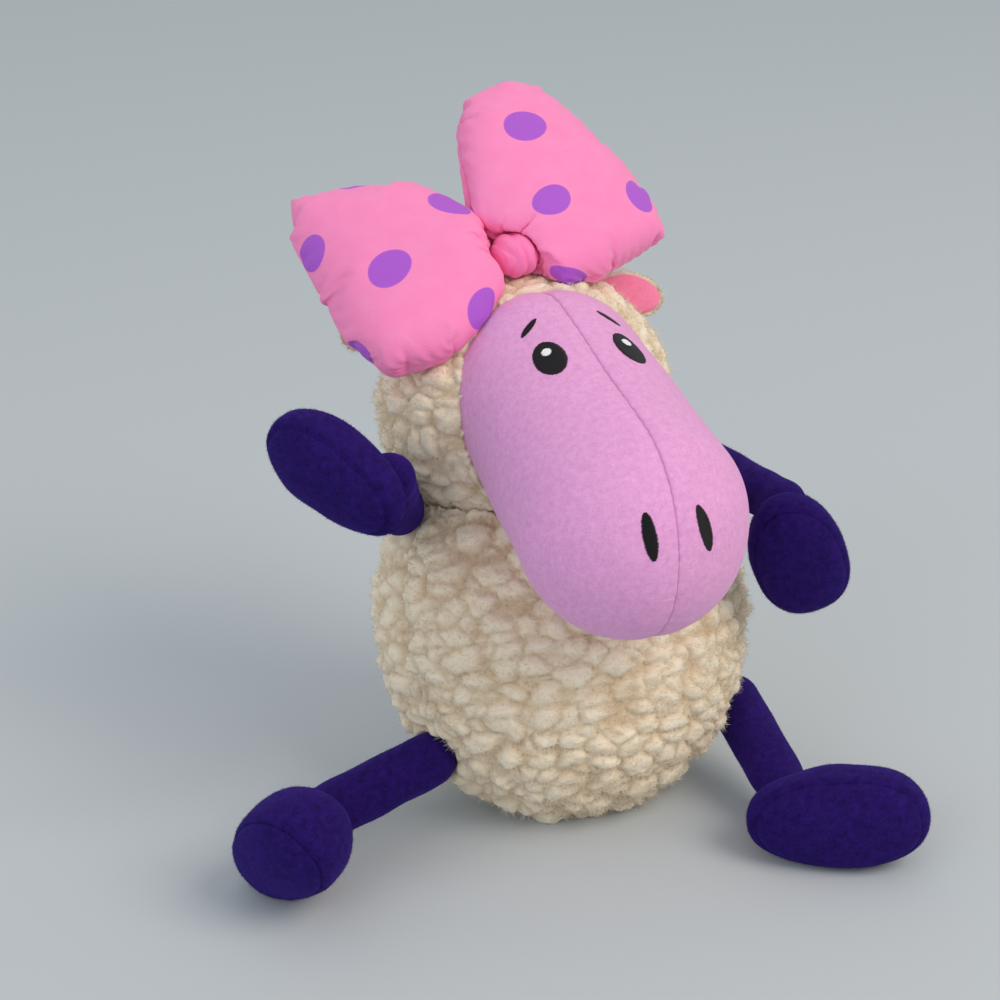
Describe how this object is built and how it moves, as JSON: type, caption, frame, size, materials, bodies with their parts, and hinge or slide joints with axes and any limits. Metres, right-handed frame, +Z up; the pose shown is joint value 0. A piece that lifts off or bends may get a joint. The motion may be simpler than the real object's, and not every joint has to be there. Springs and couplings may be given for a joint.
{
  "type": "stuffed toy sheep",
  "caption": "Seated stuffed toy sheep with a curly fleece body, a long velour muzzle, plush limbs and a big spotted hair bow.",
  "frame": {"origin": "middle of the flat patch that the toy sits on", "axes": "+Z up, -Y the way the sheep faces, +X its own left"},
  "size_m": [0.2091, 0.1721, 0.2196],
  "materials": {
    "cream_fleece": "curly sherpa fleece, matte",
    "lilac_velour": "short velour with a soft sheen",
    "pink_cotton": "plain cotton weave with round purple dots",
    "pink_lining": "smooth plush",
    "indigo_plush": "short-pile plush with a soft sheen",
    "black_thread": "satin-stitch embroidery",
    "white_thread": "satin-stitch embroidery",
    "polyester_fibre": "loose polyester filling"
  },
  "bodies": {
    "body": {"body_stuffing": "polyester_fibre", "body_front_fleece": "cream_fleece", "body_back_fleece": "cream_fleece", "tail_fleece": "cream_fleece"},
    "head": {"head_fleece": "cream_fleece", "head_stuffing": "polyester_fibre", "face_left_panel": "lilac_velour", "face_right_panel": "lilac_velour", "eye_left": "black_thread", "eye_glint_left": "white_thread", "brow_left": "black_thread", "nostril_left": "black_thread", "eye_right": "black_thread", "eye_glint_right": "white_thread", "brow_right": "black_thread", "nostril_right": "black_thread", "bow_knot": "pink_cotton", "bow_left_front_cotton": "pink_cotton", "bow_left_back_cotton": "pink_cotton", "bow_left_stuffing": "polyester_fibre", "bow_right_front_cotton": "pink_cotton", "bow_right_back_cotton": "pink_cotton", "bow_right_stuffing": "polyester_fibre"},
    "ear_left": {"ear_left_fleece": "cream_fleece", "ear_left_lining": "pink_lining"},
    "ear_right": {"ear_right_fleece": "cream_fleece", "ear_right_lining": "pink_lining"},
    "arm_left": {"arm_left_skin": "indigo_plush", "arm_left_stuffing": "polyester_fibre"},
    "hand_left": {"hand_left_upper": "indigo_plush", "hand_left_sole": "indigo_plush", "hand_left_stuffing": "polyester_fibre"},
    "arm_right": {"arm_right_skin": "indigo_plush", "arm_right_stuffing": "polyester_fibre"},
    "hand_right": {"hand_right_upper": "indigo_plush", "hand_right_sole": "indigo_plush", "hand_right_stuffing": "polyester_fibre"},
    "leg_left": {"leg_left_skin": "indigo_plush", "leg_left_stuffing": "polyester_fibre"},
    "foot_left": {"foot_left_upper": "indigo_plush", "foot_left_sole": "indigo_plush", "foot_left_stuffing": "polyester_fibre"},
    "leg_right": {"leg_right_skin": "indigo_plush", "leg_right_stuffing": "polyester_fibre"},
    "foot_right": {"foot_right_upper": "indigo_plush", "foot_right_sole": "indigo_plush", "foot_right_stuffing": "polyester_fibre"}
  },
  "joints": [
    {"name": "neck_nod", "type": "hinge", "parent": "body", "child": "head", "pos_m": [-0.006, 0.03222, 0.1289], "axis": [-1, -0.0087, 0], "range_deg": [0, 22]},
    {"name": "ear_left_swing", "type": "hinge", "parent": "head", "child": "ear_left", "pos_m": [0.02902, 0.05314, 0.15727], "axis": [0.2867, 0.4197, 0.8612], "range_deg": [-12, 20]},
    {"name": "ear_right_swing", "type": "hinge", "parent": "head", "child": "ear_right", "pos_m": [-0.04138, 0.05253, 0.15727], "axis": [0.294, -0.4146, -0.8612], "range_deg": [-12, 20]},
    {"name": "shoulder_left_swing", "type": "hinge", "parent": "body", "child": "arm_left", "pos_m": [0.05427, 0.01855, 0.10382], "axis": [-0.9833, -0.182, 0], "range_deg": [-10, 45]},
    {"name": "wrist_left_bend", "type": "hinge", "parent": "arm_left", "child": "hand_left", "pos_m": [0.06155, -0.02078, 0.10334], "axis": [-0.8583, 0.3867, -0.3374], "range_deg": [-20, 20]},
    {"name": "shoulder_right_swing", "type": "hinge", "parent": "body", "child": "arm_right", "pos_m": [-0.05427, 0.01855, 0.10382], "axis": [-0.9333, 0.3591, 0], "range_deg": [-40, 15]},
    {"name": "wrist_right_bend", "type": "hinge", "parent": "arm_right", "child": "hand_right", "pos_m": [-0.06583, -0.01148, 0.12758], "axis": [0.1527, -0.5539, 0.8185], "range_deg": [-20, 20]},
    {"name": "hip_left_lift", "type": "hinge", "parent": "body", "child": "leg_left", "pos_m": [0.0545, -0.00582, 0.02645], "axis": [-0.9997, 0.0252, 0], "range_deg": [-15, 25]},
    {"name": "ankle_left_bend", "type": "hinge", "parent": "leg_left", "child": "foot_left", "pos_m": [0.0534, -0.04965, 0.01253], "axis": [0.057, -0.1194, -0.9912], "range_deg": [-20, 20]},
    {"name": "hip_right_lift", "type": "hinge", "parent": "body", "child": "leg_right", "pos_m": [-0.0545, -0.00582, 0.02645], "axis": [-0.169, 0.9856, 0], "range_deg": [-15, 25]},
    {"name": "ankle_right_bend", "type": "hinge", "parent": "leg_right", "child": "foot_right", "pos_m": [-0.09878, -0.01341, 0.01653], "axis": [0.5747, -0.4618, -0.6756], "range_deg": [-20, 20]}
  ]
}
